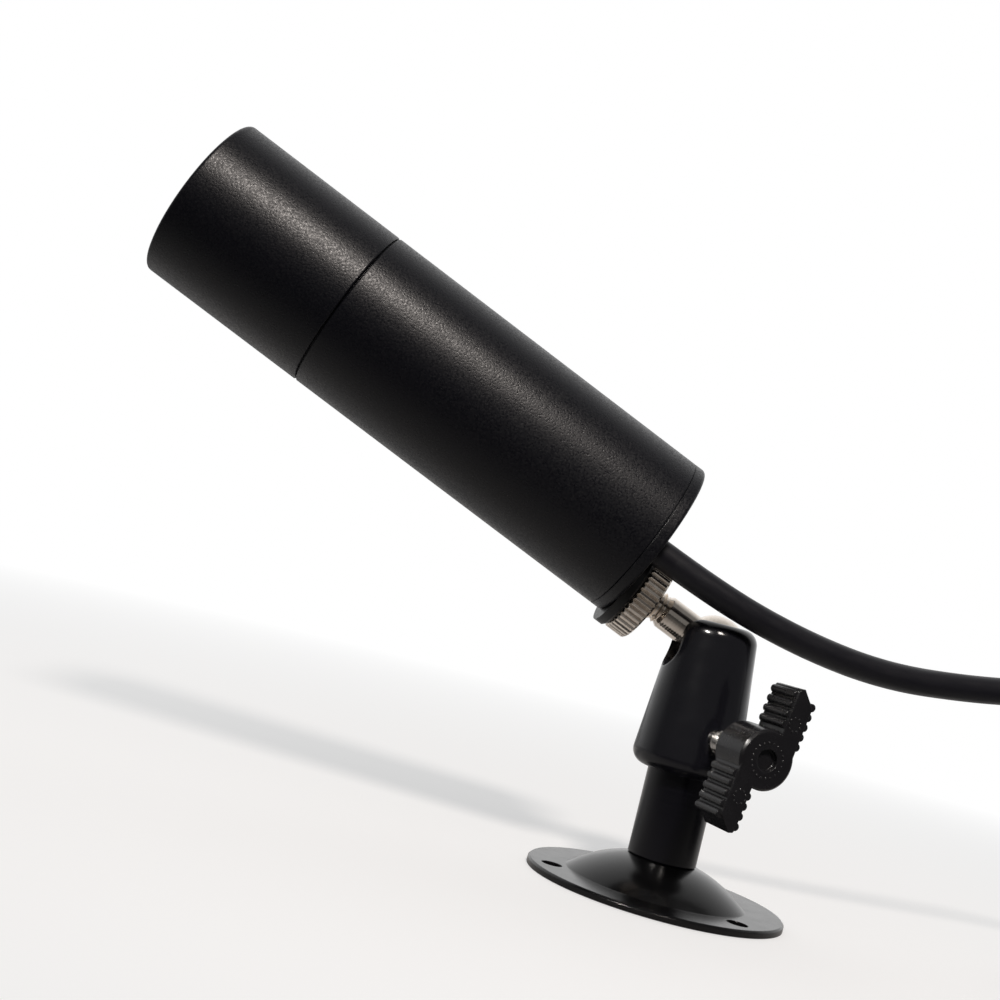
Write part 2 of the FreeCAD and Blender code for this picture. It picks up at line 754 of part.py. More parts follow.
def stud_point(along, rise, side):
    """A point given along the stud's axis, above it and to its side."""
    tilt = math.radians(stud_tilt.number)
    across = rise.number * math.cos(tilt) - along.number * math.sin(tilt)
    up = ball_height.number + rise.number * math.sin(tilt) + along.number * math.cos(tilt)
    return FreeCAD.Vector(across, side.number, up)


def cable():
    """The cable from the rear cap to its coil: past the head, over, and down to the floor in a wide turn."""
    points = [stud_point(cap_back + 6, cable_rise, -cable_side),
              stud_point(cap_back - 14, cable_rise, -cable_side)]
    route = [(15.5, -7.5, 60.9), (38.0, -2.5, 58.3), (60.0, 2.5, 60.2), (79.5, 6.6, 63.5),
             (98.5, 12.2, 64.5), (116.8, 17.5, 61.3), (135.7, 12.6, 54.5), (148.0, -0.7, 45.0),
             (151.7, -18.0, 34.5), (146.2, -34.3, 24.0), (133.8, -45.3, 14.8), (118.0, -48.4, 8.4),
             (103.3, -43.5, 4.8)]
    points += [FreeCAD.Vector(*place) for place in route]
    tube_along("cable", points, cable_radius)


def cable_rest():
    """The coil of spare cable on the floor and the short end that leads to the socket."""
    body = ring("cable_coil", coil_inner, coil_outer, ORIGIN, cable_radius * 2)
    body.Placement.Base = FreeCAD.Vector(118, -18, 0)
    tail = [(107.0, 15.6, 3.2), (117.0, 17.2, 3.5), (127.0, 17.3, 5.2), (137.0, 17.2, 6.9),
            (146.5, 17.2, 7.25)]
    tube_along("cable_tail", [FreeCAD.Vector(*place) for place in tail], cable_radius)


def inner_lead():
    """The cable's stripped end inside the housing, from the sleeve to the processor board."""
    end = cap_front + cap_plug + 1.5
    plug = seam - 10 - board_thick - connector_height - 0.05
    rise = barrel_rise
    gap = plug.number - end.number
    points = [stud_point(end, cable_rise, -cable_side),
              stud_point(end + gap * 0.25, cable_rise + 0.6, -cable_side + 0.6),
              stud_point(end + gap * 0.5, rise - 0.9, -cable_side + 2.0),
              stud_point(end + gap * 0.75, rise - 0.2, -cable_side + lead_inset),
              stud_point(plug, rise, -board_half + 3.4)]
    tube_along("inner_lead", points, as_size(1.8))


def lay_socket(body):
    """Lays a piece of the socket on the floor beside the coil."""
    turn = FreeCAD.Rotation(FreeCAD.Vector(0, 0, 1), 90)
    body.Placement = FreeCAD.Placement(FreeCAD.Vector(148.5, 17.2, 0), turn)


def network_socket():
    """Inline network socket with a cable collar, lying on the floor at the cable's end."""
    body = new_body("network_socket")
    half = socket_width * 0.5
    face = on_plane(body, "XZ_Plane", "socket_face")
    outline(face, [
        (-half + 1.5, 0), (half - 1.5, 0), (half, 1.5), (half, socket_height - 1.5),
        (half - 1.5, socket_height), (-half + 1.5, socket_height), (-half, socket_height - 1.5), (-half, 1.5)])
    pad(body, face, socket_length)
    collar = on_plane(body, "XZ_Plane", "socket_collar", as_size(-8))
    disc(collar, 0, socket_height * 0.5, cable_radius + 1.2)
    pad(body, collar, 8.5)
    for step in range(3):
        rib = on_plane(body, "XZ_Plane", "collar_rib_%d" % step, as_size(2.6 * step - 8))
        disc(rib, 0, socket_height * 0.5, cable_radius + 1.9)
        pad(body, rib, 1.4)
    entry = on_plane(body, "XZ_Plane", "socket_entry", as_size(-8))
    disc(entry, 0, socket_height * 0.5, cable_radius + 0.05)
    cut(body, entry, 7, forward=True)
    jack = on_plane(body, "XZ_Plane", "socket_jack", socket_length)
    block_outline(jack, jack_width * 0.5, jack_height * 0.5, 0, socket_height * 0.5)
    cut(body, jack, jack_depth)
    latch = on_plane(body, "XZ_Plane", "socket_latch_slot", socket_length)
    block_outline(latch, as_size(3.2), as_size(1.0), 0, (socket_height + jack_height) * 0.5 + 0.9)
    cut(body, latch, jack_depth)
    lay_socket(body)


def socket_contacts():
    """Eight sprung contacts on their carrier at the back of the socket."""
    body = new_body("socket_contacts")
    level = socket_length - jack_depth
    carrier = on_plane(body, "XZ_Plane", "contact_carrier", level + 0.05)
    floor = (socket_height - jack_height) * 0.5
    block_outline(carrier, as_size(4.6), as_size(1.2), 0, floor + 1.3)
    pad(body, carrier, 2.0)
    pins = on_plane(body, "XZ_Plane", "contact_pins", level + 1)
    for step in range(8):
        block_outline_at(pins, 1.02 * (step - 3.5), floor + 2.0)
    pad(body, pins, 8.0)
    lay_socket(body)


def block_outline_at(sketch, across, along):
    """One contact's section in a sketch that holds several."""
    first = sketch.GeometryCount
    half = 0.25
    low = along.number - half
    high = along.number + half
    points = [FreeCAD.Vector(across - half, low, 0), FreeCAD.Vector(across + half, low, 0),
              FreeCAD.Vector(across + half, high, 0), FreeCAD.Vector(across - half, high, 0)]
    for i, a in enumerate(points):
        sketch.addGeometry(Part.LineSegment(a, points[(i + 1) % 4]), False)
    for i in range(4):
        sketch.addConstraint(Sketcher.Constraint("Coincident", first + i, 2, first + (i + 1) % 4, 1))
        pin(sketch, first + i, 1, as_size(points[i].x), along + (points[i].y - along.number))


base_plate()
stem()
stem_fixing()
ball_head()
ball_seat()
clamp_screw()
wing_knob()
ball_stud()
lock_nut()
stud_washer()
rear_cap()
cap_seal()
stud_insert()
cable_grommet()
main_housing()
front_housing()
front_seals_and_window()
lens()
lens_holder()
electronics()
infrared_leds()
inner_lead()
cable()
cable_rest()
network_socket()
socket_contacts()
doc.recompute()

# Every feature must have built, and every sub-part must be one sound solid
for thing in doc.Objects:
    if "Invalid" in thing.State or "Error" in thing.State:
        raise RuntimeError("%s did not build: %s" % (thing.Label, thing.State))
os.makedirs("parts", exist_ok=True)
for solid in solids:
    shape = solid.Shape
    if not shape.isValid() or len(shape.Solids) != 1:
        raise RuntimeError("%s is not one sound solid" % solid.Label)
    shape.exportStep("parts/%s.step" % solid.Label)
    box = shape.BoundBox
    print("%-20s volume %9.1f  x %.1f %.1f  y %.1f %.1f  z %.1f %.1f" % (
        solid.Label, shape.Volume, box.XMin, box.XMax, box.YMin, box.YMax, box.ZMin, box.ZMax))
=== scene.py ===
"""Dresses the slim network camera on its ball-head stand: finishes, threads, lamps, cable and studio."""
import math

import bpy
from mathutils import Matrix, Vector


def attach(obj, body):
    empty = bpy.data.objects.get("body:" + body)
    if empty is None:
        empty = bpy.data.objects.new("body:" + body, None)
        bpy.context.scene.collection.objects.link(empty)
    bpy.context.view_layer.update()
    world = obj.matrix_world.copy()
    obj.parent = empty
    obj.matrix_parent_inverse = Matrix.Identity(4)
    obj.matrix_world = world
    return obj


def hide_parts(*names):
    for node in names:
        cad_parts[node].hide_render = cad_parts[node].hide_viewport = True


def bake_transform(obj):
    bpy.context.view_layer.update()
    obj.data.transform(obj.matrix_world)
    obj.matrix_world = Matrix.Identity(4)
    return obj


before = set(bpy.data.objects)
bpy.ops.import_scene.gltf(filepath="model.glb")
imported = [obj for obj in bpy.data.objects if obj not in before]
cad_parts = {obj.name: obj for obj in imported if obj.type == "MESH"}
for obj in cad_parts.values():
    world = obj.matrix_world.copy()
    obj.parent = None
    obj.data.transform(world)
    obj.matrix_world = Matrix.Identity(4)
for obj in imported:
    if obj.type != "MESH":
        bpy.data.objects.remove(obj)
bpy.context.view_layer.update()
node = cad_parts

# Base plate: a disc of pressed steel sheet with a raised dome that carries the stem.
# It is painted satin black, so the paint is slightly rounded over the rim and shows a faint orange peel.
# Three plain holes take the wall screws, and one screw from below holds the stem.

WELD = 0.000002
TOUCH = 0.00005
SCREW_HEAD_RADIUS = 0.0042
SCREW_HEAD_HEIGHT = 0.0024
SCREW_HEAD_LOW = 0.0029
SCREW_HEAD_ROUNDING = 0.0009
SCREW_SHOULDER = 0.0017
SCREW_SHANK_LENGTH = 0.0108
RECESS_LENGTH = 0.0044
RECESS_WIDTH = 0.0010
RECESS_HEIGHT = 0.0030
RECESS_TOP = 0.0043
RECESS_TAPER = 0.0003


def shader_of(material):
    """A finish's own shader."""
    return material.node_tree.nodes["Principled BSDF"]


def new_finish(name, colour, roughness, metallic=0.0, specular=0.5):
    """Opens a finish and sets what is the same all over it."""
    material = bpy.data.materials.new(name)
    material.use_nodes = True
    shader = shader_of(material)
    shader.inputs["Base Color"].default_value = (*colour, 1.0)
    shader.inputs["Roughness"].default_value = roughness
    shader.inputs["Metallic"].default_value = metallic
    shader.inputs["Specular IOR Level"].default_value = specular
    return material


def add_node(material, kind, **values):
    """Adds one node to a finish or to the room, and sets its named inputs."""
    made = material.node_tree.nodes.new("ShaderNode" + kind)
    for key, value in values.items():
        made.inputs[key.replace("_", " ")].default_value = value
    return made


def join(material, source, output, target, entry):
    """Wires one node's output to another's input."""
    material.node_tree.links.new(source.outputs[output], target.inputs[entry])


def place_of(material, stretch=(1, 1, 1), turn=(0, 0, 0)):
    """The surface's own place on the piece, stretched and turned where a pattern has a direction."""
    coordinates = add_node(material, "TexCoord")
    mapping = add_node(material, "Mapping", Scale=stretch, Rotation=turn)
    join(material, coordinates, "Object", mapping, "Vector")
    return mapping


def speckle(material, grain, detail=3.0, stretch=(1, 1, 1)):
    """A cloudy pattern whose lumps have about the given width in metres."""
    noise = add_node(material, "TexNoise", Scale=1.0 / grain, Detail=detail, Roughness=0.6)
    join(material, place_of(material, stretch), "Vector", noise, "Vector")
    return noise


def vary_gloss(material, pattern, low, high):
    """Lets a pattern change the roughness between two values."""
    spread = add_node(material, "MapRange", From_Min=0.3, From_Max=0.7, To_Min=low, To_Max=high)
    join(material, pattern, "Fac", spread, "Value")
    join(material, spread, "Result", shader_of(material), "Roughness")


def vary_colour(material, pattern, dark, light):
    """Lets a pattern change the colour between two tones."""
    ramp = add_node(material, "ValToRGB")
    ramp.color_ramp.elements[0].position = 0.35
    ramp.color_ramp.elements[0].color = (*dark, 1.0)
    ramp.color_ramp.elements[1].position = 0.65
    ramp.color_ramp.elements[1].color = (*light, 1.0)
    join(material, pattern, "Fac", ramp, "Fac")
    join(material, ramp, "Color", shader_of(material), "Base Color")


def emboss(material, pattern, depth, over=None):
    """Lets a pattern raise the surface by a depth in metres, over another relief where one is given."""
    bump = add_node(material, "Bump", Strength=1.0, Distance=depth)
    join(material, pattern, "Fac", bump, "Height")
    if over is not None:
        join(material, over, "Normal", bump, "Normal")
    join(material, bump, "Normal", shader_of(material), "Normal")


def soft_edges(material, radius):
    """Rounds the look of sharp edges, as paint, plating and wear do."""
    return add_node(material, "Bevel", Radius=radius)


def coat(material, *names):
    """Gives CAD pieces their finish."""
    for name in names:
        node[name].data.materials.clear()
        node[name].data.materials.append(material)


satin_paint = new_finish("satin_black_paint", (0.0030, 0.0030, 0.0034), 0.20, specular=0.4)
paint_cloud = speckle(satin_paint, 0.006, 2.0)
vary_gloss(satin_paint, paint_cloud, 0.16, 0.23)
paint_peel = speckle(satin_paint, 0.0009, 2.0)
emboss(satin_paint, paint_peel, 0.000004, over=soft_edges(satin_paint, 0.0004))
coat(satin_paint, "base_plate")

zinc_plate = new_finish("zinc_plated_steel", (0.55, 0.56, 0.56), 0.32, metallic=1.0)
zinc_cloud = speckle(zinc_plate, 0.0012)
vary_gloss(zinc_plate, zinc_cloud, 0.24, 0.42)
vary_colour(zinc_plate, zinc_cloud, (0.46, 0.47, 0.47), (0.62, 0.62, 0.61))
coat(zinc_plate, "stem_washer")


def begin(add, **values):
    """Starts a new piece from one primitive, with nothing else selected."""
    bpy.ops.object.select_all(action="DESELECT")
    add(**values)
    bpy.ops.object.transform_apply(location=True, rotation=True, scale=True)
    return bpy.context.object


def choose(piece, kind, wanted):
    """Goes into edit mode with only the wanted faces or edges selected, judged by middle and direction."""
    bpy.ops.object.mode_set(mode="EDIT")
    bpy.ops.mesh.select_mode(type=kind)
    bpy.ops.mesh.select_all(action="DESELECT")
    bpy.ops.object.mode_set(mode="OBJECT")
    corners = piece.data.vertices
    if kind == "FACE":
        for face in piece.data.polygons:
            face.select = wanted(face.center, face.normal)
    else:
        for edge in piece.data.edges:
            a, b = (corners[i].co for i in edge.vertices)
            edge.select = wanted((a + b) / 2, (b - a).normalized())
    bpy.ops.object.mode_set(mode="EDIT")


def is_level(direction):
    """Whether an edge runs level."""
    return abs(direction.z) < 0.1


def is_upward(direction):
    """Whether a face looks up."""
    return direction.z > 0.9


def apply_modifier(piece, kind, **values):
    """Adds a modifier with its settings and applies it."""
    modifier = piece.modifiers.new(kind.lower(), kind)
    for key, value in values.items():
        setattr(modifier, key, value)
    bpy.context.view_layer.objects.active = piece
    bpy.ops.object.modifier_apply(modifier=modifier.name)


def cut_off(low, high):
    """In edit mode, trims a piece square at two heights and closes the cuts."""
    bpy.ops.mesh.select_all(action="SELECT")
    bpy.ops.mesh.bisect(plane_co=(0, 0, low), plane_no=(0, 0, 1), use_fill=True, clear_inner=True)
    bpy.ops.mesh.select_all(action="SELECT")
    bpy.ops.mesh.bisect(plane_co=(0, 0, high), plane_no=(0, 0, 1), use_fill=True, clear_outer=True)


def settle(piece, name, finish, body, place=None, crease=35):
    """Ends a piece: turns its faces outwards, puts it in place, and gives it its finish and its body."""
    bpy.ops.object.select_all(action="DESELECT")
    piece.select_set(True)
    bpy.context.view_layer.objects.active = piece
    bpy.ops.object.mode_set(mode="EDIT")
    bpy.ops.mesh.select_all(action="SELECT")
    bpy.ops.mesh.remove_doubles(threshold=WELD)
    bpy.ops.mesh.normals_make_consistent(inside=False)
    bpy.ops.object.mode_set(mode="OBJECT")
    if place is not None:
        piece.matrix_world = place
        bpy.ops.object.transform_apply(location=True, rotation=True, scale=True)
    bpy.ops.object.shade_smooth_by_angle(angle=math.radians(crease))
    piece.name = name
    piece.data.materials.append(finish)
    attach(piece, body)


stem_screw = begin(bpy.ops.mesh.primitive_cylinder_add, vertices=48, radius=SCREW_HEAD_RADIUS,
                   depth=SCREW_HEAD_HEIGHT, location=(0, 0, SCREW_HEAD_LOW + SCREW_HEAD_HEIGHT / 2))
choose(stem_screw, "EDGE", lambda middle, run: middle.z < SCREW_HEAD_LOW + TOUCH and is_level(run))
bpy.ops.mesh.bevel(offset=SCREW_HEAD_ROUNDING, segments=4, affect="EDGES")
choose(stem_screw, "FACE", lambda middle, facing: is_upward(facing))
bpy.ops.mesh.inset(thickness=SCREW_SHOULDER)
bpy.ops.mesh.extrude_region_move(TRANSFORM_OT_translate={"value": (0, 0, SCREW_SHANK_LENGTH)})
bpy.ops.object.mode_set(mode="OBJECT")
for recess in ((RECESS_LENGTH, RECESS_WIDTH), (RECESS_WIDTH, RECESS_LENGTH)):
    driver = begin(bpy.ops.mesh.primitive_cube_add, size=1.0, scale=(*recess, RECESS_HEIGHT),
                   location=(0, 0, RECESS_TOP - RECESS_HEIGHT / 2))
    choose(driver, "EDGE", lambda middle, run: middle.z > RECESS_TOP - TOUCH)
    bpy.ops.mesh.bevel(offset=RECESS_TAPER, segments=1, affect="EDGES")
    bpy.ops.object.mode_set(mode="OBJECT")
    apply_modifier(stem_screw, "BOOLEAN", operation="DIFFERENCE", object=driver)
    bpy.data.objects.remove(driver)
settle(stem_screw, "stem_screw_driven", zinc_plate, "base")
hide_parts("stem_screw")

# Stem: a post turned from aluminium bar, anodised black.
# Its spigot is glued into the head, and its foot stands on the plate's dome.
# Fine turning marks run round it.

turned_black = new_finish("turned_black_anodise", (0.0040, 0.0039, 0.0068), 0.22, specular=0.3)
turning_marks = speckle(turned_black, 0.0022, 4.0, stretch=(0.15, 0.15, 9.0))
vary_gloss(turned_black, turning_marks, 0.18, 0.25)
emboss(turned_black, turning_marks, 0.0000015, over=soft_edges(turned_black, 0.0003))
coat(turned_black, "stem")

# Ball head: a zinc casting with a slot in its crown for the stud, enamelled gloss black.
# The enamel flows over the casting, so it is glassy with a soft waviness.
# A plastic seat inside lifts the ball when the clamp screw is turned in.

gloss_enamel = new_finish("gloss_black_enamel", (0.0086, 0.0088, 0.0122), 0.16, specular=0.4)
enamel_flow = speckle(gloss_enamel, 0.007, 1.5)
vary_gloss(gloss_enamel, enamel_flow, 0.12, 0.21)
emboss(gloss_enamel, enamel_flow, 0.00006, over=soft_edges(gloss_enamel, 0.0006))
coat(gloss_enamel, "ball_head")

seat_acetal = new_finish("moulded_dark_acetal", (0.045, 0.045, 0.046), 0.42)
seat_cloud = speckle(seat_acetal, 0.002)
vary_colour(seat_acetal, seat_cloud, (0.038, 0.038, 0.039), (0.052, 0.052, 0.053))
vary_gloss(seat_acetal, seat_cloud, 0.36, 0.50)
coat(seat_acetal, "ball_seat")

# Wing knob and clamp screw: a moulded nylon knob cast over the end of a bright steel screw.
# The wings are ribbed for grip, and small raised dots ring the dish in its face and mark each wing.
# The screw's point lifts the ball seat as the knob is turned.

KNOB_HEIGHT = 0.036
KNOB_BEARING = -73
KNOB_ROLL = -10
KNOB_FACE = 0.0303
DOT_RADIUS = 0.00026
DOT_FLATNESS = 0.8
DOT_ROOT = -0.00008
DISH_RING = 0.0036
WING_RING = 0.0014
WING_ACROSS = 0.0088
WING_ALONG = -0.0029

moulded_nylon = new_finish("moulded_black_nylon", (0.0130, 0.0127, 0.0148), 0.26, specular=0.33)
nylon_cloud = speckle(moulded_nylon, 0.0035, 3.0)
vary_gloss(moulded_nylon, nylon_cloud, 0.17, 0.32)
nylon_skin = speckle(moulded_nylon, 0.0006, 2.0)
emboss(moulded_nylon, nylon_skin, 0.00001, over=soft_edges(moulded_nylon, 0.0005))
coat(moulded_nylon, "wing_knob")

bright_steel = new_finish("bright_steel", (0.62, 0.60, 0.57), 0.20, metallic=1.0)
steel_cloud = speckle(bright_steel, 0.0010)
vary_gloss(bright_steel, steel_cloud, 0.13, 0.30)
vary_colour(bright_steel, steel_cloud, (0.52, 0.50, 0.47), (0.68, 0.66, 0.63))
coat(bright_steel, "clamp_screw")


def everything(middle, direction):
    """Picks every face or edge."""
    return True


def thread_ridge(pitch, core, crest, low, high):
    """A screw thread's ridge wound round an upright shaft, trimmed square at both ends."""
    half_foot = pitch * 0.49
    start = low - pitch * 1.2
    turns = math.ceil((high - low) / pitch) + 3
    ridge = begin(bpy.ops.mesh.primitive_circle_add, vertices=4, radius=half_foot,
                  rotation=(math.pi / 2, 0, 0), location=(core, 0, start))
    choose(ridge, "EDGE", everything)
    bpy.ops.transform.resize(value=((crest - core) / half_foot, 1, 1), center_override=(core, 0, 0))
    bpy.ops.object.mode_set(mode="OBJECT")
    apply_modifier(ridge, "SCREW", axis="Z", angle=2 * math.pi, screw_offset=pitch, iterations=turns,
                   steps=40, render_steps=40)
    bpy.ops.object.mode_set(mode="EDIT")
    cut_off(low, high)
    bpy.ops.object.mode_set(mode="OBJECT")
    return ridge


def ball_cap(segments, rings, radius, flatness, low):
    """A flattened ball, trimmed square at a low height."""
    cap = begin(bpy.ops.mesh.primitive_uv_sphere_add, segments=segments, ring_count=rings, radius=radius)
    choose(cap, "EDGE", everything)
    bpy.ops.transform.resize(value=(1, 1, flatness), center_override=(0, 0, 0))
    cut_off(low, radius)
    bpy.ops.object.mode_set(mode="OBJECT")
    return cap


def copy_of(piece):
    """A second piece with a mesh of its own."""
    made = piece.copy()
    made.data = piece.data.copy()
    bpy.context.scene.collection.objects.link(made)
    return made


def ring(count, radius, across=0.0, along=0.0):
    """Evenly spaced places round a centre."""
    turns = [2 * math.pi * k / count for k in range(count)]
    return [(across + radius * math.cos(turn), along + radius * math.sin(turn)) for turn in turns]


knob_place = (Matrix.Translation((0, 0, KNOB_HEIGHT))
              @ Matrix.Rotation(math.radians(KNOB_BEARING), 4, "Z")
              @ Matrix.Rotation(math.radians(90), 4, "Y")
              @ Matrix.Rotation(math.radians(KNOB_ROLL), 4, "Z"))
clamp_thread = thread_ridge(pitch=0.0008, core=0.00225, crest=0.00252, low=0.0116, high=0.0198)
settle(clamp_thread, "clamp_screw_thread", bright_steel, "knob", knob_place, crease=25)

dot_nylon = new_finish("polished_black_nylon", (0.0160, 0.0156, 0.0180), 0.20)
dot_cloud = speckle(dot_nylon, 0.0008)
vary_gloss(dot_nylon, dot_cloud, 0.14, 0.28)
first_dot = ball_cap(segments=10, rings=8, radius=DOT_RADIUS, flatness=DOT_FLATNESS, low=DOT_ROOT)
dot_places = ring(20, DISH_RING)
dot_places += ring(9, WING_RING, WING_ACROSS, WING_ALONG)
dot_places += ring(9, WING_RING, -WING_ACROSS, -WING_ALONG)
dots = []
for across, along in dot_places:
    dot = copy_of(first_dot)
    dot.location = (across, along, KNOB_FACE)
    dots.append(dot)
bpy.data.objects.remove(first_dot)
bpy.ops.object.select_all(action="DESELECT")
for dot in dots:
    dot.select_set(True)
bpy.context.view_layer.objects.active = dots[0]
bpy.ops.object.join()
bpy.ops.object.transform_apply(location=True, rotation=True, scale=True)
settle(dots[0], "knob_grip_dots", dot_nylon, "knob", knob_place)

# Ball stud and lock nut: steel turned to size, nickel plated bright.
# The nut's edge has straight knurls for grip, and a quarter-inch thread runs up to the stud's shoulder.
# The black washer behind the nut is turned from acetal.

BALL_HEIGHT = 0.055
STUD_TILT = 67.5

bright_nickel = new_finish("bright_nickel", (0.84, 0.75, 0.66), 0.16, metallic=1.0)
nickel_cloud = speckle(bright_nickel, 0.0014)
vary_gloss(bright_nickel, nickel_cloud, 0.08, 0.18)
vary_colour(bright_nickel, nickel_cloud, (0.82, 0.73, 0.64), (0.94, 0.86, 0.77))
turning_rings = add_node(bright_nickel, "TexWave", Scale=476.0, Distortion=0.6)
turning_rings.bands_direction = "Z"
along_stud = place_of(bright_nickel, turn=(0, math.radians(STUD_TILT), 0))
join(bright_nickel, along_stud, "Vector", turning_rings, "Vector")
emboss(bright_nickel, turning_rings, 0.000008, over=soft_edges(bright_nickel, 0.0002))
coat(bright_nickel, "ball_stud", "lock_nut")
stud_place = Matrix.Translation((0, 0, BALL_HEIGHT)) @ Matrix.Rotation(math.radians(-STUD_TILT), 4, "Y")
stud_thread = thread_ridge(pitch=0.00127, core=0.0030, crest=0.0036, low=0.01435, high=0.01755)
settle(stud_thread, "ball_stud_thread", bright_nickel, "stud", stud_place, crease=25)

washer_black = new_finish("black_acetal", (0.0050, 0.0050, 0.0055), 0.36, specular=0.4)
washer_cloud = speckle(washer_black, 0.0008)
vary_gloss(washer_black, washer_cloud, 0.32, 0.46)
emboss(washer_black, washer_cloud, 0.000006)
coat(washer_black, "stud_washer")

# Camera barrel: end cap, long tube and nose, turned from aluminium.
# All three are bead blasted and anodised black, which leaves a fine sparkling grain.
# The nose screws on the tube, and a hairline joint stays between them.

blasted_black = new_finish("bead_blasted_black_anodise", (0.0037, 0.0038, 0.0066), 0.34, specular=0.36)
blast_grain = speckle(blasted_black, 0.00045, 3.0)
vary_gloss(blasted_black, blast_grain, 0.22, 0.51)
emboss(blasted_black, blast_grain, 0.00006, over=soft_edges(blasted_black, 0.0002))
coat(blasted_black, "rear_cap", "main_housing", "front_housing")

seal_rubber = new_finish("black_seal_rubber", (0.013, 0.013, 0.013), 0.62)
rubber_skin = speckle(seal_rubber, 0.0005)
vary_gloss(seal_rubber, rubber_skin, 0.55, 0.72)
emboss(seal_rubber, rubber_skin, 0.00001)
coat(seal_rubber, "rear_cap_seal", "housing_seal", "window_seal", "cable_grommet", "lens_shroud")

insert_brass = new_finish("turned_brass", (0.72, 0.53, 0.24), 0.28, metallic=1.0)
brass_cloud = speckle(insert_brass, 0.001)
vary_gloss(insert_brass, brass_cloud, 0.20, 0.38)
coat(insert_brass, "stud_insert")

# Window and lens: a flat glass held by a black ring, with a small screw-in lens behind it.
# The lens barrel is turned aluminium, and its front glass has a thin reflection-cutting coat.
# Boards, sensor and lamps sit on moulded frames behind, and each lamp has a clear dome.

DOME_RADIUS = 0.0015
DOME_FLATNESS = 0.85
LAMP_COUNT = 12
LAMP_RING = 0.0124
LAMP_AXIS = 0.0109
LAMP_FACE = 0.1389

window_glass = new_finish("window_glass", (0.93, 0.96, 0.95), 0.02)
shader_of(window_glass).inputs["Transmission Weight"].default_value = 1.0
shader_of(window_glass).inputs["IOR"].default_value = 1.45
glass_haze = speckle(window_glass, 0.004)
vary_gloss(window_glass, glass_haze, 0.0, 0.012)
coat(window_glass, "front_window")

coated_glass = new_finish("coated_lens_glass", (0.02, 0.015, 0.04), 0.04)
shader_of(coated_glass).inputs["Coat Weight"].default_value = 1.0
coat_tint = speckle(coated_glass, 0.006, 1.0)
vary_colour(coated_glass, coat_tint, (0.012, 0.010, 0.035), (0.035, 0.012, 0.045))
coat(coated_glass, "lens_front_element")

inner_black = new_finish("matt_black_inside", (0.012, 0.012, 0.012), 0.45)
inner_cloud = speckle(inner_black, 0.0007)
vary_gloss(inner_black, inner_cloud, 0.38, 0.55)
coat(inner_black, "window_retainer", "lens_barrel", "lens_lock_ring", "lens_holder", "board_carrier",
     "led_frame", "board_connector")

board_laminate = new_finish("green_board_laminate", (0.012, 0.055, 0.030), 0.36)
board_weave = speckle(board_laminate, 0.0012)
vary_colour(board_laminate, board_weave, (0.010, 0.045, 0.024), (0.016, 0.068, 0.036))
coat(board_laminate, "sensor_board", "processor_board", "led_board")

chip_resin = new_finish("chip_resin", (0.016, 0.016, 0.017), 0.5)
chip_cloud = speckle(chip_resin, 0.0004)
vary_gloss(chip_resin, chip_cloud, 0.42, 0.58)
coat(chip_resin, "image_sensor", "processor_chip")

smoked_resin = new_finish("smoked_lamp_resin", (0.010, 0.008, 0.010), 0.22)
smoke_cloud = speckle(smoked_resin, 0.002)
vary_gloss(smoked_resin, smoke_cloud, 0.16, 0.30)
coat(smoked_resin, "infrared_leds")

lamp_resin = new_finish("clear_lamp_resin", (0.46, 0.40, 0.44), 0.08)
shader_of(lamp_resin).inputs["Transmission Weight"].default_value = 0.6
lamp_cloud = speckle(lamp_resin, 0.002)
vary_gloss(lamp_resin, lamp_cloud, 0.04, 0.12)
first_dome = ball_cap(segments=20, rings=12, radius=DOME_RADIUS, flatness=DOME_FLATNESS, low=0.0)
for k, (across, along) in enumerate(ring(LAMP_COUNT, LAMP_RING, LAMP_AXIS)):
    dome = copy_of(first_dome)
    dome_place = stud_place @ Matrix.Translation((across, along, LAMP_FACE))
    settle(dome, f"lamp_dome_{k + 1:02d}", lamp_resin, "camera", dome_place, crease=60)
bpy.data.objects.remove(first_dome)

# Cable: one black network lead in a soft plastic jacket, 6.2 mm thick and about 0.6 m long.
# It leaves the rear cap through a rubber sleeve, goes over and down in a wide turn, and ends in a coil.
# Near the stud it is split into two lengths that meet behind the ball.

CABLE_RADIUS = 0.0031
CABLE_SPLIT = 0.0095
COIL_FROM = -150
COIL_TO = -620
COIL_STEP = -20
COIL_REACH = 0.0288
COIL_GROWTH = 0.0064
GROWTH_START = -270
GROWTH_TURN = 240
FLOOR_LIFT = 0.0033
TIE_LIFT = 0.0040
TIE_BEARINGS = (-170, -190, -530, -550)
TIE_RADIUS = 0.00335
TIE_HALF_SPAN = 0.00315
TIE_WIDTH = 0.0036
TIE_THICKNESS = 0.0005
TIE_REACH = 0.0317
LOCK_SIZE = (0.0050, 0.0052, 0.0028)
LOCK_HEIGHT = 0.0046
LOCK_ROUNDING = 0.0006

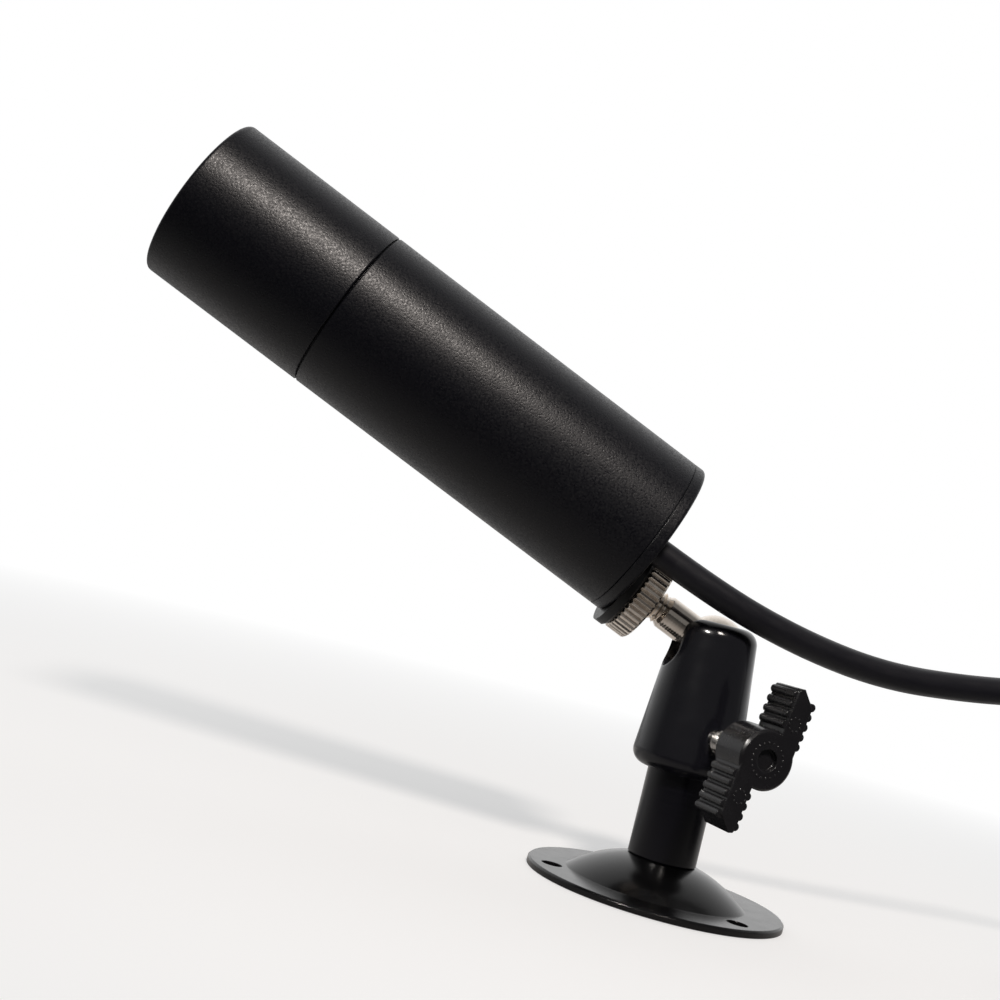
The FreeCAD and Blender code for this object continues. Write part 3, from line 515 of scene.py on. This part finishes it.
coil_centre = Vector((0.118, -0.018, 0))
route = [(-0.025595, -0.0116, 0.074477), (-0.007117, -0.0116, 0.066824), (0.0155, -0.0075, 0.0609),
         (0.0380, -0.0025, 0.0583), (0.0600, 0.0025, 0.0602), (0.0795, 0.0066, 0.0635),
         (0.0985, 0.0122, 0.0645), (0.1168, 0.0175, 0.0613), (0.1357, 0.0126, 0.0545),
         (0.1480, -0.0007, 0.0450), (0.1517, -0.0180, 0.0345), (0.1462, -0.0343, 0.0240),
         (0.1338, -0.0453, 0.0148), (0.1180, -0.0484, 0.0084), (0.1033, -0.0435, 0.0048)]
for bearing in range(COIL_FROM, COIL_TO, COIL_STEP):
    growth = min(max((GROWTH_START - bearing) / GROWTH_TURN, 0.0), 1.0)
    reach = COIL_REACH + COIL_GROWTH * growth
    lift = TIE_LIFT if bearing in TIE_BEARINGS else FLOOR_LIFT
    angle = math.radians(bearing)
    route.append((coil_centre.x + reach * math.cos(angle), coil_centre.y + reach * math.sin(angle), lift))
route += [(0.117, 0.0172, 0.0035), (0.127, 0.0173, 0.0052), (0.137, 0.0172, 0.0069),
          (0.1465, 0.0172, 0.00725)]


def smooth_line(name, points):
    """Points read along one smooth spline that has the given points as its controls."""
    curve = bpy.data.curves.new(name, "CURVE")
    curve.dimensions = "3D"
    spline = curve.splines.new("NURBS")
    spline.points.add(len(points) - 1)
    for control, place in zip(spline.points, points):
        control.co = (*place, 1.0)
    spline.order_u = 3
    spline.use_endpoint_u = True
    spline.resolution_u = 20
    holder = bpy.data.objects.new(name, curve)
    bpy.context.scene.collection.objects.link(holder)
    bpy.context.view_layer.update()
    line = bpy.data.meshes.new_from_object(holder)
    found = [vertex.co.copy() for vertex in line.vertices]
    bpy.data.objects.remove(holder)
    bpy.data.meshes.remove(line)
    bpy.data.curves.remove(curve)
    return found


def round_tube(name, line, first, last, radius, sides=24, crease=40):
    """A closed round tube along part of a line, with its girth and length mapped for the jacket's grain."""
    vertices = []
    runs = []
    run = 0.0
    side = (line[1] - line[0]).cross(Vector((0, 0, 1))).normalized()
    for i, place in enumerate(line):
        ahead = (line[min(i + 1, len(line) - 1)] - line[max(i - 1, 0)]).normalized()
        side = (side - ahead * side.dot(ahead)).normalized()
        up = ahead.cross(side)
        run += (place - line[max(i - 1, 0)]).length
        if first <= i <= last:
            runs.append(run)
            for k in range(sides):
                turn = 2 * math.pi * k / sides
                vertices.append(place + (side * math.cos(turn) + up * math.sin(turn)) * radius)
    faces = []
    for i in range(len(runs) - 1):
        for k in range(sides):
            a = i * sides + k
            b = i * sides + (k + 1) % sides
            faces.append((a, b, b + sides, a + sides))
    end = (len(runs) - 1) * sides
    faces.append(tuple(reversed(range(sides))))
    faces.append(tuple(range(end, end + sides)))
    mesh = bpy.data.meshes.new(name)
    mesh.from_pydata(vertices, [], faces)
    chart = mesh.uv_layers.new(name="jacket")
    for face in mesh.polygons:
        for corner in face.loop_indices:
            vertex = mesh.loops[corner].vertex_index
            around = (vertex % sides) / sides
            if face.index % sides == sides - 1 and vertex % sides == 0 and len(face.vertices) == 4:
                around = 1.0
            chart.data[corner].uv = (around, runs[vertex // sides])
    piece = bpy.data.objects.new(name, mesh)
    bpy.context.scene.collection.objects.link(piece)
    bpy.ops.object.select_all(action="DESELECT")
    piece.select_set(True)
    bpy.context.view_layer.objects.active = piece
    bpy.ops.object.shade_smooth_by_angle(angle=math.radians(crease))
    return piece


cable_jacket = new_finish("black_pvc_jacket", (0.0092, 0.0088, 0.0128), 0.40, specular=0.35)
jacket_chart = add_node(cable_jacket, "UVMap")
jacket_chart.uv_map = "jacket"
jacket_map = add_node(cable_jacket, "Mapping", Scale=(14.0, 160.0, 1.0))
join(cable_jacket, jacket_chart, "UV", jacket_map, "Vector")
jacket_grain = add_node(cable_jacket, "TexNoise", Scale=1.0, Detail=3.0, Roughness=0.6)
join(cable_jacket, jacket_map, "Vector", jacket_grain, "Vector")
vary_gloss(cable_jacket, jacket_grain, 0.34, 0.48)
emboss(cable_jacket, jacket_grain, 0.00002)
coat(cable_jacket, "inner_lead")

cable_line = smooth_line("cable_route", route)
split = next(i for i, place in enumerate(cable_line) if place.x > CABLE_SPLIT)
cable_near = round_tube("cable_near", cable_line, 0, split, CABLE_RADIUS)
cable_far = round_tube("cable_far", cable_line, split, len(cable_line) - 1, CABLE_RADIUS)
for piece in (cable_near, cable_far):
    piece.data.materials.append(cable_jacket)

coil_tie = begin(bpy.ops.mesh.primitive_circle_add, vertices=40, radius=TIE_RADIUS,
                 rotation=(math.pi / 2, 0, 0))
choose(coil_tie, "EDGE", lambda middle, run: middle.x > 0)
bpy.ops.transform.translate(value=(TIE_HALF_SPAN, 0, 0))
choose(coil_tie, "EDGE", lambda middle, run: middle.x < 0)
bpy.ops.transform.translate(value=(-TIE_HALF_SPAN, 0, 0))
choose(coil_tie, "EDGE", everything)
bpy.ops.mesh.extrude_region_move(TRANSFORM_OT_translate={"value": (0, TIE_WIDTH, 0)})
bpy.ops.object.mode_set(mode="OBJECT")
apply_modifier(coil_tie, "SOLIDIFY", thickness=TIE_THICKNESS, offset=1.0)
lock = begin(bpy.ops.mesh.primitive_cube_add, size=1.0, location=(0, TIE_WIDTH / 2, LOCK_HEIGHT),
             scale=LOCK_SIZE)
choose(lock, "EDGE", everything)
bpy.ops.mesh.bevel(offset=LOCK_ROUNDING, segments=3, affect="EDGES")
bpy.ops.object.mode_set(mode="OBJECT")
coil_tie.select_set(True)
bpy.context.view_layer.objects.active = coil_tie
bpy.ops.object.join()
tie_place = Matrix.Translation((coil_centre.x - TIE_REACH, coil_centre.y - TIE_WIDTH / 2, TIE_LIFT))
settle(coil_tie, "coil_tie", moulded_nylon, "base", tie_place)

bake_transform(cable_near)
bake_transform(cable_far)
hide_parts("cable", "cable_coil", "cable_tail")

# Network socket: an inline jack moulded on the cable's end, with a ribbed collar round the cable.
# Its shell is matt black plastic, and eight gold-plated contacts show in its mouth.

socket_shell = new_finish("matt_black_shell", (0.013, 0.013, 0.014), 0.45)
shell_spark = speckle(socket_shell, 0.0007)
vary_gloss(socket_shell, shell_spark, 0.38, 0.54)
emboss(socket_shell, shell_spark, 0.00002)
coat(socket_shell, "network_socket")

contact_gold = new_finish("gold_plate", (0.83, 0.62, 0.25), 0.24, metallic=1.0)
gold_cloud = speckle(contact_gold, 0.0006)
vary_gloss(contact_gold, gold_cloud, 0.18, 0.32)
coat(contact_gold, "socket_contacts")

# Studio: a pale floor that fades to white away from the object, and a white surround.
# The room is dimmer on the viewer's side, as round a lit table, with one soft lamp above the viewer; in
# reflections the floor on that side carries painted shade.
# A small lamp at the upper left only glints on the stand's edges and bright metal.

FLOOR_WIDTH = 12.0
FLOOR_DROP = 0.0001

bpy.ops.object.select_all(action="DESELECT")
bpy.ops.mesh.primitive_plane_add(size=FLOOR_WIDTH, location=(0, 0, -FLOOR_DROP))
floor = bpy.context.object
floor.name = "studio_floor"
floor_paper = new_finish("pale_floor", (0.90, 0.89, 0.88), 0.9, specular=0.0)
paper_place = place_of(floor_paper)
paper_reach = add_node(floor_paper, "VectorMath")
paper_reach.operation = "LENGTH"
join(floor_paper, paper_place, "Vector", paper_reach, 0)
paper_fade = add_node(floor_paper, "MapRange", From_Min=0.05, From_Max=0.60, To_Min=0.45, To_Max=1.0)
join(floor_paper, paper_reach, "Value", paper_fade, "Value")
paper_ray = add_node(floor_paper, "LightPath")
paper_share = add_node(floor_paper, "Math")
paper_share.operation = "MULTIPLY"
join(floor_paper, paper_fade, "Result", paper_share, 0)
join(floor_paper, paper_ray, "Is Camera Ray", paper_share, 1)
# Painted shade: for every ray but the camera's, the floor's colour is darker on the viewer's side, standing
# in for the dim room there.
paper_axes = add_node(floor_paper, "SeparateXYZ")
join(floor_paper, paper_place, "Vector", paper_axes, 0)
paper_painted_shade = add_node(floor_paper, "MapRange", From_Min=-0.12, From_Max=0.09, To_Min=0.10, To_Max=0.88)
join(floor_paper, paper_axes, "Y", paper_painted_shade, "Value")
paper_painted_shade_tone = add_node(floor_paper, "Math")
paper_painted_shade_tone.operation = "MAXIMUM"
join(floor_paper, paper_painted_shade, "Result", paper_painted_shade_tone, 0)
join(floor_paper, paper_ray, "Is Camera Ray", paper_painted_shade_tone, 1)
join(floor_paper, paper_painted_shade_tone, "Value", shader_of(floor_paper), "Base Color")
paper_glow = add_node(floor_paper, "Emission", Color=(1, 1, 1, 1), Strength=1.0)
paper_mix = add_node(floor_paper, "MixShader")
join(floor_paper, paper_share, "Value", paper_mix, 0)
join(floor_paper, shader_of(floor_paper), "BSDF", paper_mix, 1)
join(floor_paper, paper_glow, "Emission", paper_mix, 2)
join(floor_paper, paper_mix, "Shader", floor_paper.node_tree.nodes["Material Output"], "Surface")
floor.data.materials.append(floor_paper)

world = bpy.data.worlds.new("white_room")
bpy.context.scene.world = world
world.use_nodes = True
backdrop = world.node_tree.nodes["Background"]
backdrop.inputs["Color"].default_value = (1, 1, 1, 1)
room_toward = add_node(world, "TexCoord")
room_axes = add_node(world, "SeparateXYZ")
join(world, room_toward, "Generated", room_axes, 0)
room_dim = add_node(world, "MapRange", From_Min=-0.05, From_Max=0.85, To_Min=0.14, To_Max=0.95)
join(world, room_axes, "Y", room_dim, "Value")
room_ray = add_node(world, "LightPath")
room_seen = add_node(world, "Math")
room_seen.operation = "MAXIMUM"
join(world, room_ray, "Is Camera Ray", room_seen, 0)
join(world, room_ray, "Is Transmission Ray", room_seen, 1)
room_pick = add_node(world, "Mix")
room_pick.inputs[3].default_value = 1.0
join(world, room_seen, 0, room_pick, 0)
join(world, room_dim, "Result", room_pick, 2)
join(world, room_pick, 0, backdrop, "Strength")


def soft_lamp(name, place, aim, width, power, colour, spread):
    """A shaded studio lamp turned to a point."""
    lamp = bpy.data.lights.new(name, "SPOT")
    lamp.shadow_soft_size = width / 2
    lamp.spot_size = math.radians(spread)
    lamp.spot_blend = 0.8
    lamp.energy = power
    lamp.color = colour
    holder = bpy.data.objects.new(name, lamp)
    bpy.context.scene.collection.objects.link(holder)
    holder.location = place
    holder.rotation_euler = (Vector(aim) - Vector(place)).to_track_quat("-Z", "Y").to_euler()
    return holder


soft_lamp("lamp_above_viewer", place=(0.00, -0.80, 0.88), aim=(-0.02, 0, 0.075), width=0.20, power=34.0,
          colour=(1.0, 0.92, 0.86), spread=30)
glint_lamp = soft_lamp("lamp_upper_left", place=(-0.62, -0.72, 0.70), aim=(0.006, -0.012, 0.044),
                       width=0.06, power=85.0, colour=(1.0, 0.96, 0.92), spread=5)
glint_lamp.visible_diffuse = False

# Viewpoint: a camera just below the barrel's middle, looking slightly up.
# It leans to one side, so the upright stand looks tilted in the picture.

camera_data = bpy.data.cameras.new("viewpoint")
camera_data.sensor_width = 36.0
camera_data.lens = 51.36
camera_data.clip_start = 0.01
camera = bpy.data.objects.new("viewpoint", camera_data)
bpy.context.scene.collection.objects.link(camera)
camera_place = Matrix.Translation((-0.07915, -0.31018, 0.05598))
camera_look = Vector((0.0813, 0.9949, 0.0605)).to_track_quat("-Z", "Y").to_matrix().to_4x4()
camera_lean = Matrix.Rotation(math.radians(14.318), 4, "Z")
camera.matrix_world = camera_place @ camera_look @ camera_lean
bpy.context.scene.camera = camera
bpy.context.scene.view_settings.view_transform = "Standard"
